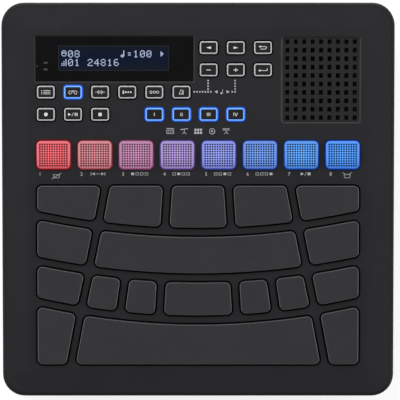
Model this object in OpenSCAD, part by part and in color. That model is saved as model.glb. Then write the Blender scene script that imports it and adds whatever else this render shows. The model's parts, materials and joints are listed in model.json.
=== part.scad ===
// Table-top drum machine: eighteen finger pads in four curved rows, eight lit
// square pads, nineteen framed keys, a character display and a small speaker.
// Millimetres. X runs to the player's right, Y to the back, Z up; the origin is
// on the table under the middle of the case. Most pieces are drawn in the deck's
// own frame, where z = 0 is the flat deck, and deck() tilts them into place.

/* [Case] */
// Flat border of the deck beside the pads and panels
border_side = 3.4; // [3:0.1:8]
// Flat border of the deck in front of the pads
border_front = 2.4; // [2:0.1:8]
// Flat border of the deck behind the panels
border_back = 2.7; // [2:0.1:8]
// Corner radius of the case seen from above
case_r = 13.5; // [10:0.5:18]
// Height of the deck above the table at the front edge
front_h = 33; // [31:0.5:40]
// Slope of the deck, rising to the back, in degrees
tilt = 4; // [3:0.5:5]
// Height of the upper case from the deck down to the seam
upper_h = 13; // [12:0.5:15]
// Wall of both case halves
wall = 2.4; // [2.2:0.1:2.8]
// Width of the sloping margin round the flat deck
margin_w = 18; // [15:0.5:20]
// Fall of the margin, in degrees
margin_fall = 6; // [3:0.5:8]
// Radius of the rolled outer edge
edge_r = 3; // [3:0.5:6]
// Corner radius of the flat deck
deck_r = 2.5; // [1:0.5:5]
// Inward lean of the lower case's walls, in degrees
draft = 8; // [6:0.5:10]
// Chamfer round the underside
base_chamfer = 3; // [1:0.5:4]

/* [Finger pads] */
// How far the finger pads stop short of the panels' outer edges
pad_inset = 0.7; // [0:0.1:3]
// Distance between neighbouring pads
pad_gap = 5.7; // [5.2:0.1:7]
// Running gap round a finger pad
pad_clear = 0.9; // [0.7:0.1:1.3]
// Radius of the arcs that the rows follow
row_arc_r = 458; // [400:2:600]
// Radius of the arc between the two front rows
front_arc_r = 428; // [400:2:600]
// Depth of the back row at its middle
row_1_d = 25.6; // [22:0.1:30]
// Depth of the second row at its middle
row_2_d = 22.2; // [18:0.1:26]
// Depth of the third row at its middle
row_3_d = 20.1; // [16:0.1:24]
// Depth of the front row at its middle
row_4_d = 24.3; // [20:0.1:28]
// Corner radius of a finger pad
pad_r = 3; // [2:0.1:4]
// Height of the finger pads above the deck
pad_rise = 1.6; // [1:0.1:2]
// Travel of a finger pad when it is struck
pad_travel = 0.6; // [0.3:0.1:0.8]

/* [Lit pads] */
// How far the lit pads stop short of the panels' outer edges
lit_inset = 0.5; // [0:0.1:3]
// Space between two lit pads
lit_space = 4.8; // [4:0.1:6]
// Depth of a lit pad
lit_d = 16.9; // [14:0.1:20]
// Printed band between the finger pads and the lit pads
label_band = 10.35; // [9:0.05:14]
// Height of the lit pads above the deck
lit_rise = 1.6; // [1:0.1:2.2]

/* [Keys] */
// Width of a key with its light frame
key_w = 10.7; // [10:0.1:13]
// Depth of a key with its light frame
key_d = 7.65; // [7:0.05:10]
// Space between two key columns
key_space_x = 5.77; // [4.5:0.01:8]
// Space between two key rows
key_space_y = 5.85; // [4.5:0.05:8]
// Distance from the window to the keys beside it
key_beside = 4; // [3.2:0.1:8]
// Distance from the window to the keys below it, and from the panels' back edge to the keys
key_below = 2.8; // [2.3:0.1:6]
// Width of the light frame on a key
key_frame = 1; // [0.8:0.05:1.4]
// Height of the keys above the deck
key_rise = 0.9; // [0.6:0.1:1.4]
// Travel of the keys and of the lit pads
key_travel = 0.8; // [0.5:0.1:0.9]

/* [Display] */
// Width of the display window
window_w = 95.7; // [90:0.1:110]
// Depth of the display window
window_d = 27; // [24:0.1:30]
// Thickness of the window
window_t = 1.4; // [1:0.1:1.5]
// Width of the visible characters' field
screen_w = 67.1; // [60:0.1:70]
// Depth of the visible characters' field
screen_d = 15.2; // [13:0.1:16]

/* [Speaker] */
// Width of the grille
grille_w = 46.4; // [44:0.1:56]
// Depth of the grille
grille_d = 50.9; // [50:0.1:60]
// Distance from the keys to the grille
grille_beside = 6.76; // [6:0.01:12]
// How far the grille stops short of the panels' outer and back edges
grille_inset = 0.7; // [0:0.1:3]
// Distance from the lit pads to the grille
grille_behind = 11.75; // [10:0.05:16]
// Pitch of the grille's square holes
hole_pitch = 5.12; // [4:0.01:5.2]
// Width of a grille hole
hole_w = 2.45; // [2:0.05:2.9]
// Depth of a grille hole
hole_d = 2.85; // [2:0.05:2.9]
// Diameter of the speaker's cone
cone_diameter = 40; // [34:0.5:42]

/* [Rear panel] */
// Width of the bay for the sockets
bay_w = 140; // [130:1:150]
// Height of the bay
bay_h = 21; // [19:0.5:22]
// Depth of the bay behind the back of the case
bay_depth = 8.4; // [7:0.1:9.5]
// Height of the sockets above the table
socket_z = 18.5; // [18:0.1:19]
// Diameter of the volume knob
knob_diameter = 15; // [12:0.5:17]
// Length of the volume knob
knob_l = 5.6; // [4:0.1:6]
// Bore of the phones and aux sockets
jack_bore = 3.6; // [3.55:0.01:3.7]
// Travel of the power button
power_travel = 1; // [0.6:0.1:1.2]

/* [Feet and screws] */
// Diameter of a rubber foot
foot_diameter = 17; // [12:0.5:20]
// Height of the feet below the case
foot_h = 3; // [2:0.5:4]
// Distance from the side of the case to the middle of a foot
foot_inset_x = 28; // [24:0.5:40]
// Distance from the front and back of the case to the middle of a foot
foot_inset_y = 34.5; // [30:0.5:50]
// Length of the case screws under the head
screw_l = 12; // [10:0.5:13]

/* [Hidden] */
$fn = 48;
corner_steps = 5;          // chords in a small corner
case_corner_steps = 8;     // chords in a corner of the case
over = 1;                  // how far a cut runs past what it cuts
key_gap = 0.8;             // running gap round a key and a lit pad
seat_gap = 0.3;            // air between a moving flange and its stop
flange_out = 0.95;         // reach of a flange beyond its opening
flange_t = 1.2;            // thickness of a flange
fit = 0.15;                // clearance round an inset piece
board_t = 1.6;             // thickness of a circuit board
recess_slope = 0.9;        // width of the slope round an inset panel
pad_reach = pad_clear + flange_out;                    // from a pad's outline to its flange's
key_reach = key_gap + flange_out;                      // the same for a key or a lit pad

// Across the deck: the window, three columns of keys and the grille side by side.
key_pitch_x = key_w + key_space_x;
key_pitch_y = key_d + key_space_y;
panels_w = window_w + key_beside + 2 * key_pitch_x + key_w + grille_beside + grille_w + grille_inset;
case_w = panels_w + 2 * (border_side + margin_w);
pad_field_w = panels_w - 2 * pad_inset;
lit_pitch = (panels_w - 2 * lit_inset + lit_space) / 8;
lit_w = lit_pitch - lit_space;
window_x = (window_w - panels_w) / 2;
grille_x = (panels_w - grille_w) / 2 - grille_inset;
key_inset = 0.83;                                      // from the window's side to the keys below it
key_x = (key_w - panels_w) / 2 + key_inset;
key_right_x = window_x + (window_w + key_w) / 2 + key_beside;

// Along the deck: the finger pads, the lit pads and the grille one behind the other.
ROW_D = [row_1_d, row_2_d, row_3_d, row_4_d];
pad_field_d = row_1_d + row_2_d + row_3_d + row_4_d + 3 * pad_gap;
case_d = border_front + pad_field_d + label_band + lit_d + grille_behind + grille_d + grille_inset
    + border_back + 2 * margin_w;
pad_field_y = margin_w + border_front + pad_field_d - case_d / 2;
lit_y = pad_field_y + label_band + lit_d / 2;
panels_back = case_d / 2 - margin_w - border_back;
grille_y = panels_back - grille_inset - grille_d / 2;
window_y = panels_back - window_d / 2;
key_y = panels_back - key_below - key_d / 2;           // back row, beside the window
key_front_y = panels_back - window_d - key_below - key_d / 2;    // back row of those below it
lit_low = lit_y - lit_d / 2 - key_reach;               // front and back of the lit pads' flanges
lit_high = lit_y + lit_d / 2 + key_reach;

flange_z = -wall - seat_gap - flange_t;                // underside of every flange
sensor_z = flange_z - 0.8 - seat_gap;                  // top of the pad sensor board
switch_h = 2;                                          // height of a key switch
switch_z = flange_z - 0.9 - seat_gap;                  // top of the key switches
key_board_z = switch_z - switch_h;                     // top of the key board

mid_h = front_h + case_d / 2 * sin(tilt);              // height of the deck's middle
roll_in = edge_r * (1 - sin(margin_fall));             // inset where the roll begins
blend_w = 4;                                           // width of the soft start of the fall
roll_z = -tan(margin_fall) * (margin_w - blend_w / 2 - roll_in) - edge_r * cos(margin_fall);
deck_back = -(upper_h - roll_z) / 2 * sin(tilt);       // keeps the outline centred on the origin

// Where a place on the deck lies above the table, and the deck's height over a place on the table.
function table_y(y, z) = y * cos(tilt) - z * sin(tilt) + deck_back;
function deck_z(y) = mid_h + (y - deck_back) * tan(tilt);

seam_step = 0.5;                                       // groove at the seam
base_z = foot_h;                                       // underside of the lower case
case_back = table_y(case_d / 2, -upper_h);             // rearmost line of the case, at the seam
bay_y = case_back - bay_depth;                         // floor of the bay
foot_x = case_w / 2 - foot_inset_x;
foot_y = case_d / 2 - foot_inset_y;
floor_z = base_z + wall;                               // inside face of its floor

// Curves of the rows' edges from back to front, as the share of x squared that they rise by.
ROW_CURVES = [0, 0.5 / row_arc_r, 0.5 / row_arc_r, 0.5 / front_arc_r, 0];
// Each row's dividers from the middle outward: [x at the row's back edge, lean per mm forward].
DIVIDERS = [
    [[18.55, 0.065], [56.3, 0.192]],
    [[62.4, 0.208]],
    [[22.4, 0.062], [44.85, 0.145], [67.75, 0.215]],
    [[73, 0.192]]
];
PADS = [for (row = [0:3], i = [0:2 * len(DIVIDERS[row])]) [str("pad_row", row + 1, "_", i + 1), row, i]];
LIT = [for (i = [1:8]) [str("lit_pad_", i), i]];
// Keys by [name, block, column, row]; block 0 is beside the window and block 1 below it.
KEYS = [
    ["key_cursor_left", 0, 0, 0], ["key_cursor_right", 0, 1, 0], ["key_exit", 0, 2, 0],
    ["key_value_down", 0, 0, 1], ["key_value_up", 0, 1, 1], ["key_enter", 0, 2, 1],
    ["key_menu", 1, 0, 0], ["key_kit", 1, 1, 0], ["key_audio", 1, 2, 0],
    ["key_session", 1, 3, 0], ["key_registration", 1, 4, 0], ["key_click", 1, 5, 0],
    ["key_record", 1, 0, 1], ["key_play_pause", 1, 1, 1], ["key_stop", 1, 2, 1],
    ["key_bank_1", 1, 4, 1], ["key_bank_2", 1, 5, 1], ["key_bank_3", 1, 6, 1], ["key_bank_4", 1, 7, 1]
];
KEY_BLOCKS = [[key_right_x, key_y], [key_x, key_front_y]];
// Colours of the lit pads from left to right.
LIT_COLOURS = ["#e04050", "#d06070", "#c070a0", "#a080c8", "#8080d8", "#6088e0", "#4c90e8", "#3c88f0"];

// ---- Outlines: closed rings of points with rounded corners, drawn clockwise ----

function unit(v) = v / norm(v);
function mix(a, b, t) = a + (b - a) * t;

// An edge runs across as [y at x = 0, curve]; a side runs front to back as [x at y = 0, lean].
function edge_y(edge, x, out) = edge[0] + edge[1] * x * x + out * sqrt(1 + pow(2 * edge[1] * x, 2));
function side_x(side, y, out) = side[0] - side[1] * y + out * sqrt(1 + side[1] * side[1]);
function meet(edge, side, out_y, out_x, y = 0, tries = 5) =
    let (x = side_x(side, y, out_x), y_there = edge_y(edge, x, out_y))
    tries == 0 ? [x, y_there] : meet(edge, side, out_y, out_x, y_there, tries - 1);

function fillet(corner, from, to, r, steps) =
    let (turn = acos(from * to),
         middle = corner + unit(to - from) * r / cos(turn / 2),
         start = corner - from * r * tan(turn / 2) - middle,
         first = atan2(start[1], start[0]))
    [for (i = [0:steps]) middle + r * [cos(first - turn * i / steps), sin(first - turn * i / steps)]];

function outline(back, front, left, right, r, grow = 0, corners = corner_steps, runs = 1) =
    let (bl = meet(back, left, grow, -grow),
         br = meet(back, right, grow, grow),
         fr = meet(front, right, -grow, grow),
         fl = meet(front, left, -grow, -grow),
         a = fillet(bl, unit(bl - fl), unit([1, 2 * back[1] * bl[0]]), r + grow, corners),
         b = fillet(br, unit([1, 2 * back[1] * br[0]]), unit(fr - br), r + grow, corners),
         c = fillet(fr, unit(fr - br), -unit([1, 2 * front[1] * fr[0]]), r + grow, corners),
         d = fillet(fl, -unit([1, 2 * front[1] * fl[0]]), unit(bl - fl), r + grow, corners),
         back_run = [for (i = [1:runs]) mix(a[corners][0], b[0][0], i / (runs + 1))],
         front_run = [for (i = [1:runs]) mix(c[corners][0], d[0][0], i / (runs + 1))])
    concat(a, [for (x = back_run) [x, edge_y(back, x, grow)]], b,
        c, [for (x = front_run) [x, edge_y(front, x, -grow)]], d);

function rectangle(w, d, r, grow = 0, corners = corner_steps) =
    outline([d / 2, 0], [-d / 2, 0], [-w / 2, 0], [w / 2, 0], r, grow, corners);

// A closed solid through [outline, z] rings of equal length, lowest first.
module loft(rings) {
    n = len(rings[0][0]);
    points = [for (ring = rings) for (p = ring[0]) [p[0], p[1], ring[1]]];
    walls = [for (k = [0:len(rings) - 2]) for (i = [0:n - 1])
        let (j = (i + 1) % n, a = k * n + i, b = k * n + j)
        each [[a, b, b + n], [a, b + n, a + n]]];
    last = (len(rings) - 1) * n;
    caps = [for (i = [0:n / 2 - 2]) let (j = n - 1 - i)
        each [[j, j - 1, i + 1], [j, i + 1, i],
              [last + i, last + i + 1, last + j - 1], [last + i, last + j - 1, last + j]]];
    polyhedron(points, concat(walls, caps));
}

module slab(ring, low, high) {
    translate([0, 0, low]) linear_extrude(high - low) polygon(ring);
}

module deck() {
    translate([0, deck_back, mid_h]) rotate([tilt, 0, 0]) children();
}

// ---- The case's own form ----

function case_ring(inset, corners = case_corner_steps) =
    rectangle(case_w - 2 * inset, case_d - 2 * inset,
        max(case_r - inset * (case_r - deck_r) / margin_w, deck_r), 0, corners);

// The rolled edge and the sloping margin as rings, inside them by depth.
function margin_rings(depth, angles) = concat(
    [for (a = angles) [case_ring(edge_r - (edge_r - depth) * sin(a)), roll_z + (edge_r - depth) * cos(a)]],
    [[case_ring(margin_w - blend_w), -tan(margin_fall) * blend_w / 2 - depth],
     [case_ring(margin_w - blend_w / 2), -tan(margin_fall) * blend_w / 8 - depth],
     [case_ring(margin_w), -depth]]);

module upper_form() {
    loft(concat([[case_ring(0), -upper_h]], margin_rings(0, [90, 72, 54, 36, 18, margin_fall])));
}

module upper_hollow() {
    loft(concat([[case_ring(wall), -upper_h - over]], margin_rings(wall, [90, 48, margin_fall])));
}

lower_reach = 70;                                      // depth of the lower form, cut off by the base
function lower_inset(z) = (-z - upper_h) * tan(draft);

// Where the wall at y = side * case_d / 2 meets the base plane, as [y on the table, inset].
function base_meet(side, inset = 0, tries = 6) =
    let (y = side * (case_d / 2 - inset), z = (base_z - mid_h - y * sin(tilt)) / cos(tilt))
    tries == 0 ? [table_y(y, z), inset] : base_meet(side, lower_inset(z), tries - 1);

module lower_form() {
    low = -upper_h - lower_reach;
    intersection() {
        deck() loft([[case_ring(lower_inset(low)), low],
                     [case_ring(lower_inset(-upper_h - 2 * seam_step)), -upper_h - 2 * seam_step],
                     [case_ring(seam_step), -upper_h - seam_step],
                     [case_ring(seam_step), -upper_h]]);
        base_form();
    }
}

// A wide funnel whose sides cut the chamfer round the underside.
module base_form() {
    corner = case_r - base_meet(1)[1] * (case_r - deck_r) / margin_w;
    spread = 60;
    hull() for (side = [-1, 1], end = [-1, 1]) let (m = base_meet(end))
        translate([side * (case_w / 2 - m[1] - corner), m[0] - end * corner, base_z])
            cylinder(h = spread, r1 = corner - base_chamfer, r2 = corner - base_chamfer + spread, $fn = 32);
}

module lower_hollow() {
    low = -upper_h - lower_reach;
    intersection() {
        deck() loft([[case_ring(wall + lower_inset(low)), low], [case_ring(wall), -upper_h + over]]);
        translate([-case_w, -case_d, floor_z]) cube([2 * case_w, 2 * case_d, 2 * lower_reach]);
    }
}

// The tongue on the lower case that fits inside the upper one.
tongue_h = 1.5;
tongue_t = 1.2;
module seam_tongue() {
    deck() difference() {
        loft([[case_ring(wall - 0.6), -upper_h - 3],
              [case_ring(wall - 0.6), -upper_h],
              [case_ring(wall + fit), -upper_h],
              [case_ring(wall + fit), -upper_h + tongue_h]]);
        slab(case_ring(wall + fit + tongue_t), -upper_h - 3 - over, -upper_h + tongue_h + over);
    }
}

// ---- Case screws: upright bosses, split at the seam ----

boss_r = 2.8;
slim_boss_r = 2.3;                                     // the one between the finger pads and lit pads
boss_inset = 12.5;                                     // from the case's outline to a boss
boss_x = case_w / 2 - boss_inset;
boss_front = boss_inset - case_d / 2;
between_pads = table_y((pad_field_y + pad_reach + lit_low) / 2, flange_z - 3);
SCREWS = concat(
    [for (side = [-1, 1], y = [boss_front + 2, 0, case_d / 2 - 16]) [side * boss_x, y, boss_r]],
    [[0, boss_front, boss_r], [0, between_pads, slim_boss_r]]);
pilot_r = 1.5;
screw_r = 1.45;
screw_head_r = 2.9;
screw_head_h = 2.2;
boss_web = 3;                                          // plastic under a screw's head
gusset_t = 1.5;

function boss_split(y) = deck_z(y) - upper_h - 2;

module upper_bosses() {
    for (s = SCREWS) translate([s[0], s[1], boss_split(s[1])])
        cylinder(h = deck_z(s[1]) - 0.8 * wall - boss_split(s[1]), r = s[2]);
}

module upper_pilots() {
    for (s = SCREWS) translate([s[0], s[1], boss_split(s[1]) - over])
        cylinder(h = screw_l - boss_web + 1 + over, r = pilot_r);
}

// Each lower boss has a gusset to the wall behind it.
module lower_bosses() {
    for (s = SCREWS) translate([s[0], s[1], base_z]) {
        h = boss_split(s[1]) - base_z;
        cylinder(h = h, r = screw_head_r + 0.3 + 1.4);
        if (s[0] != 0) translate([min(0, sign(s[0]) * boss_inset), -gusset_t / 2, 0])
            cube([boss_inset, gusset_t, h - 2]);
        if (s[1] == boss_front) translate([-gusset_t / 2, -boss_inset, 0])
            cube([gusset_t, boss_inset, h - 2]);
    }
}

module screw_passages() {
    for (s = SCREWS) translate([s[0], s[1], base_z - over]) {
        cylinder(h = boss_split(s[1]) - boss_web - base_z + over, r = screw_head_r + 0.3);
        cylinder(h = boss_split(s[1]) - base_z + 2 * over, r = screw_r + 0.25);
    }
}

module case_screws() {
    cross = [3.2, 0.8, 2.4];
    color("silver") for (s = SCREWS) translate([s[0], s[1], boss_split(s[1]) - boss_web]) {
        difference() {
            translate([0, 0, -screw_head_h])
                cylinder(h = screw_head_h, r1 = screw_head_r - 0.5, r2 = screw_head_r);
            for (a = [0, 90]) rotate([0, 0, a]) translate([0, 0, -screw_head_h]) cube(cross, center = true);
        }
        cylinder(h = screw_l, r = screw_r);
    }
}

// ---- Finger pads ----

function row_back_y(row) = row == 0 ? pad_field_y : row_back_y(row - 1) - ROW_D[row - 1] - pad_gap;
function back_edge(row) = [row_back_y(row), ROW_CURVES[row]];
function front_edge(row) = [row_back_y(row) - ROW_D[row], ROW_CURVES[row + 1]];

// The lines between a row's pads from left to right: [x at the row's back, lean, half gap].
function row_lines(row) = let (d = DIVIDERS[row], n = len(d)) concat(
    [[-pad_field_w / 2, 0, 0]],
    [for (i = [n - 1:-1:0]) [-d[i][0], -d[i][1], pad_gap / 2]],
    [for (i = [0:n - 1]) [d[i][0], d[i][1], pad_gap / 2]],
    [[pad_field_w / 2, 0, 0]]);

function pad_ring(pad, grow = 0) =
    let (row = pad[1], y = row_back_y(row), lines = row_lines(row),
         l = lines[pad[2]], r = lines[pad[2] + 1], wide = r[0] - l[0] > pad_field_w / 2)
    outline(back_edge(row), front_edge(row),
        [l[0] + l[1] * y + l[2], l[1]], [r[0] + r[1] * y - r[2], r[1]],
        pad_r, grow, corner_steps, wide ? 11 : 1);

module finger_pad(pad) {
    soft = 0.6;                                        // rounding of the pad's upper edge
    color("#39383b") deck() loft([
        [pad_ring(pad, pad_reach), flange_z],
        [pad_ring(pad, pad_reach), flange_z + flange_t],
        [pad_ring(pad), flange_z + flange_t],
        [pad_ring(pad), pad_rise - soft],
        [pad_ring(pad, -0.3 * soft), pad_rise - 0.3 * soft],
        [pad_ring(pad, -soft), pad_rise]]);
}

// ---- Lit pads and keys ----

function lit_x(i) = (i - 4.5) * lit_pitch;
function key_at(k) = KEY_BLOCKS[k[1]] + [k[2] * key_pitch_x, -k[3] * key_pitch_y];
lit_r = 2.6;
key_r = 1.5;

module lit_pad(l) {
    soft = 0.7;
    color(LIT_COLOURS[l[1] - 1]) deck() translate([lit_x(l[1]), lit_y]) loft([
        [rectangle(lit_w, lit_d, lit_r, key_reach), flange_z],
        [rectangle(lit_w, lit_d, lit_r, key_reach), flange_z + flange_t],
        [rectangle(lit_w, lit_d, lit_r), flange_z + flange_t],
        [rectangle(lit_w, lit_d, lit_r), lit_rise - soft],
        [rectangle(lit_w, lit_d, lit_r, -0.3 * soft), lit_rise - 0.3 * soft],
        [rectangle(lit_w, lit_d, lit_r, -soft), lit_rise]]);
}

groove_w = 0.35;                                       // groove between a key's frame and its cap
groove_d = 0.5;
module key(k) {
    soft = 0.25;
    inner = rectangle(key_w, key_d, key_r, -key_frame, 3);
    cap = rectangle(key_w, key_d, key_r + 0.1, -key_frame - groove_w, 3);
    color("#c8c8c8") deck() translate(key_at(k)) difference() {
        loft([
            [rectangle(key_w, key_d, key_r, key_reach, 3), flange_z],
            [rectangle(key_w, key_d, key_r, key_reach, 3), flange_z + flange_t],
            [rectangle(key_w, key_d, key_r, 0, 3), flange_z + flange_t],
            [rectangle(key_w, key_d, key_r, 0, 3), key_rise - soft],
            [rectangle(key_w, key_d, key_r, -soft, 3), key_rise]]);
        difference() {
            slab(inner, key_rise - groove_d, key_rise + over);
            slab(cap, key_rise - groove_d - over, key_rise + 2 * over);
        }
    }
}

// ---- Inset panels: the display window and the speaker grille ----

window_z = -0.5;                                       // top of the window
ledge_w = 1;                                           // ledge under an inset panel
grille_z = -0.8;                                       // top of the grille
grille_t = 1;

module panel_seat(w, d, r, top, thickness) {
    loft([[rectangle(w, d, r, fit), top],
          [rectangle(w, d, r, recess_slope), 0],
          [rectangle(w, d, r, recess_slope), over]]);
    slab(rectangle(w, d, r, fit), top - thickness, top + 0.01);
    slab(rectangle(w, d, r, -ledge_w), -wall - over, top);
}

module display_window() {
    color("#101014") deck() translate([window_x, window_y])
        slab(rectangle(window_w, window_d, 0.6), window_z - window_t, window_z);
}

// Lower left corners of the grille's square holes, about its middle.
grille_rim = 0.8;                                      // least plastic outside the holes
function holes_in(span, hole) = floor((span - 2 * grille_rim - hole) / hole_pitch) + 1;
module speaker_grille() {
    cols = holes_in(grille_w, hole_w);
    rows = holes_in(grille_d, hole_d);
    half = [hole_w, hole_d] / 2;
    corners = [for (i = [0:cols - 1], j = [0:rows - 1])
        [(i - (cols - 1) / 2) * hole_pitch, (j - (rows - 1) / 2) * hole_pitch]];
    rim = rectangle(grille_w, grille_d, 1.2);
    points = concat(rim, [for (c = corners, q = [[-1, -1], [1, -1], [1, 1], [-1, 1]])
        [c[0] + q[0] * half[0], c[1] + q[1] * half[1]]]);
    paths = concat([[for (i = [0:len(rim) - 1]) i]],
        [for (h = [0:len(corners) - 1]) [for (q = [0:3]) len(rim) + 4 * h + q]]);
    color("#2c2c2e") deck() translate([grille_x, grille_y, grille_z - grille_t])
        linear_extrude(grille_t) polygon(points, paths);
}

speaker_w = grille_w + 3;                              // mounting frame of the speaker
speaker_d = grille_d + 2;
module speaker() {
    cone_r = cone_diameter / 2;
    magnet_r = cone_r * 0.75;
    basket = [[cone_r + 1.6, -1.5], [cone_r + 1.6, -3.5], [magnet_r, -12], [magnet_r, -18.5], [0, -18.5]];
    cone = [[0, -5], [3.5, -5.6], [6.5, -7.4], [cone_r - 4, -2.4]];
    surround = [[cone_r - 2.6, -1.4], [cone_r - 1, -1.8], [cone_r, -1.5]];
    frame_t = 1.6;
    color("#181818") deck() translate([grille_x, grille_y, -wall]) {
        difference() {
            slab(rectangle(speaker_w, speaker_d, 4), -frame_t, 0);
            translate([0, 0, -frame_t - over]) cylinder(h = frame_t + 2 * over, r = cone_r + 0.5);
        }
        rotate_extrude() polygon(concat(basket, cone, surround));
    }
}

bezel_t = 5.5;                                         // depth of the display behind the window
bezel_side = 6.8;
bezel_end = 4;
bezel_z = -wall - seat_gap;                            // front of the display's bezel
screen_offset = [-0.5, 0.5];                           // from the window's middle to the screen's
display_post_r = 1.3;
module display_module() {
    color("#161a2a") deck() translate([window_x, window_y]) {
        translate(screen_offset) difference() {
            slab(rectangle(screen_w + 2 * bezel_side, screen_d + 2 * bezel_end, 1),
                bezel_z - bezel_t, bezel_z);
            slab(rectangle(screen_w, screen_d, 0.5), bezel_z - 0.7, bezel_z + over);
        }
        slab(rectangle(window_w + 3, window_d - 0.4, 0.5), bezel_z - bezel_t - board_t, bezel_z - bezel_t);
    }
}

// The display's board hangs on posts that stand clear of the window's opening.
module display_posts() {
    x = window_w / 2 - ledge_w + display_post_r;
    y = window_d / 2 - display_post_r - 1.5;
    for (side = [-1, 1], end = [-1, 1])
        translate([window_x + side * x, window_y + end * y, bezel_z - bezel_t])
            cylinder(h = bezel_t - bezel_z - wall / 2, r = display_post_r);
}

// ---- Circuit boards ----

post_r = 1.4;
post_gap = 0.35;                                       // least air between a flange and a post
sensor_post_x = pad_field_w / 2 + pad_reach + post_gap + post_r;
sensor_back = pad_field_y + pad_reach;
sensor_front = pad_field_y - pad_field_d - pad_reach;
SENSOR_POSTS = [for (side = [-1, 1], at = [0.09, 0.47, 0.86])
    [side * sensor_post_x, mix(sensor_front, sensor_back, at)]];

key_post_x = lit_x(8) + lit_w / 2 + key_reach + 2 * post_gap + post_r;
by_speaker = grille_x - speaker_w / 2 - 0.5;           // right edge of the key board beside the speaker
key_row_gap = key_front_y - key_pitch_y / 2;           // between the two front key rows
key_board_back = key_y + key_d / 2 + key_reach + post_gap + 2 * post_r + 0.3;
KEY_POSTS = [
    [-key_post_x, key_row_gap], [-key_post_x, lit_y - 6.5],
    [key_post_x, lit_y - 6.5], [key_post_x, lit_y + 8],
    [by_speaker - post_r, key_row_gap], [by_speaker - post_r, key_board_back - post_r - 0.3]];

module posts(places, low) {
    for (p = places) translate([p[0], p[1], low]) cylinder(h = -low - wall / 2, r = post_r);
}

module pad_sensor_board() {
    x = sensor_post_x + post_r;
    color("darkgreen") deck()
        slab([[-x, sensor_front], [-x, sensor_back], [x, sensor_back], [x, sensor_front]],
            sensor_z - board_t, sensor_z);
}

module key_board() {
    x = key_post_x + post_r;
    by_display = window_x + window_w / 2 + 2.3;
    below_display = window_y - window_d / 2 - 1;
    back = key_board_back;
    front_strip = lit_high + 1;
    color("darkgreen") deck() {
        slab([[-x, lit_low], [-x, below_display], [by_display, below_display], [by_display, back],
              [by_speaker, back], [by_speaker, front_strip], [x, front_strip], [x, lit_low]],
            key_board_z - board_t, key_board_z);
        for (k = KEYS) translate(concat(key_at(k), key_board_z + switch_h / 2))
            cube([4.6, 4.6, switch_h], center = true);
        for (l = LIT) translate([lit_x(l[1]), lit_y, key_board_z + switch_h / 2])
            cube([6, 6, switch_h], center = true);
    }
}

main_board_z = socket_z - 5.5;                         // top of the main board
main_board_w = bay_w + 8;
main_board_back = bay_y - wall - 1;
main_board_d = 32.5;
component_h = 11;                                      // height of the jacks and the volume control
shaft_r = 3;
shaft_gap = 0.05;
knob_x = 56;
power_x = -58;
pot = [12, 9];                                         // width and depth of the volume control
power_switch = [7, 5, 9];

module main_board() {
    color("darkgreen") {
        translate([-main_board_w / 2, main_board_back - main_board_d, main_board_z - board_t])
            cube([main_board_w, main_board_d, board_t]);
        difference() {
            translate([knob_x - pot[0] / 2, main_board_back - pot[1], main_board_z])
                cube([pot[0], pot[1], component_h]);
            across(knob_x, socket_z, main_board_back - pot[1] + 2, main_board_back + over)
                circle(r = shaft_r + shaft_gap);
        }
        translate([power_x, power_flange_y - power_travel - 1, main_board_z])
            translate([-power_switch[0] / 2, -power_switch[1], 0]) cube(power_switch);
    }
}

module board_posts() {
    low = floor_z - wall / 2;
    for (side = [-1, 1], y = [7, main_board_d - 7])
        translate([side * (main_board_w / 2 - 8), main_board_back - y, low])
            cylinder(h = main_board_z - board_t - low, r = 3);
}

battery = [66, 38, 9];
battery_at = [-40, -30];
fence_t = 1.4;
module battery_pack() {
    color("#3c6ea8") translate([battery_at[0], battery_at[1], floor_z])
        linear_extrude(battery[2]) polygon(rectangle(battery[0], battery[1], 3));
}

// Four moulded corners hold the battery pack.
module battery_fence() {
    low = floor_z - wall / 2;
    h = floor_z - low + battery[2] * 0.6;
    arm = 8;
    translate([battery_at[0], battery_at[1], low]) linear_extrude(h) difference() {
        polygon(rectangle(battery[0], battery[1], 3, seat_gap + fence_t));
        polygon(rectangle(battery[0], battery[1], 3, seat_gap));
        square([battery[0] - 2 * arm, 2 * battery[1]], center = true);
        square([2 * battery[0], battery[1] - 2 * arm], center = true);
    }
}

// Stiffening ribs moulded on the floor.
module floor_ribs() {
    x_end = case_w / 2 - 25;
    y_low = 25 - case_d / 2;
    y_high = main_board_back - main_board_d - 6;
    low = floor_z - wall / 2;
    h = 5;
    for (at = [0.2, 0.757, 0.954]) translate([-x_end, mix(y_low, y_high, at), low])
        cube([2 * x_end, gusset_t, h]);
    for (x = [36 - case_w / 2, 20, case_w / 2 - 36]) translate([x, y_low, low])
        cube([gusset_t, y_high - y_low, h]);
}

// ---- Rear panel ----

usb_c_x = -38;
usb_a_x = -16;
aux_x = 10;
phones_x = 31;
bay_r = 3;
jack_collar_r = 4;
jack_l = 14;                                           // depth of a jack's bore
jack_w = 12;
collar_out = 0.4;                                      // how far a jack's collar stands proud
USB_C = [9, 3.2, 1.5];                                 // width, height and corner radius of a shell
USB_A = [13.2, 5.8, 0.5];
POWER = [9, 6, 1.5];                                   // the same for the power button
power_flange_y = bay_y - wall - seat_gap - flange_t;

// The bay's outline seen from behind, drawn out from y = from to y = to.
module bay_block(grow, from, to) {
    translate([0, to, socket_z]) rotate([90, 0, 0])
        linear_extrude(to - from) polygon(rectangle(bay_w, bay_h, bay_r, grow));
}

module across(x, z, from, to) {
    translate([x, from, z]) rotate([-90, 0, 0]) linear_extrude(to - from) children();
}

module port(size, grow = 0) {
    polygon(rectangle(size[0], size[1], size[2], grow));
}

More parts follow.
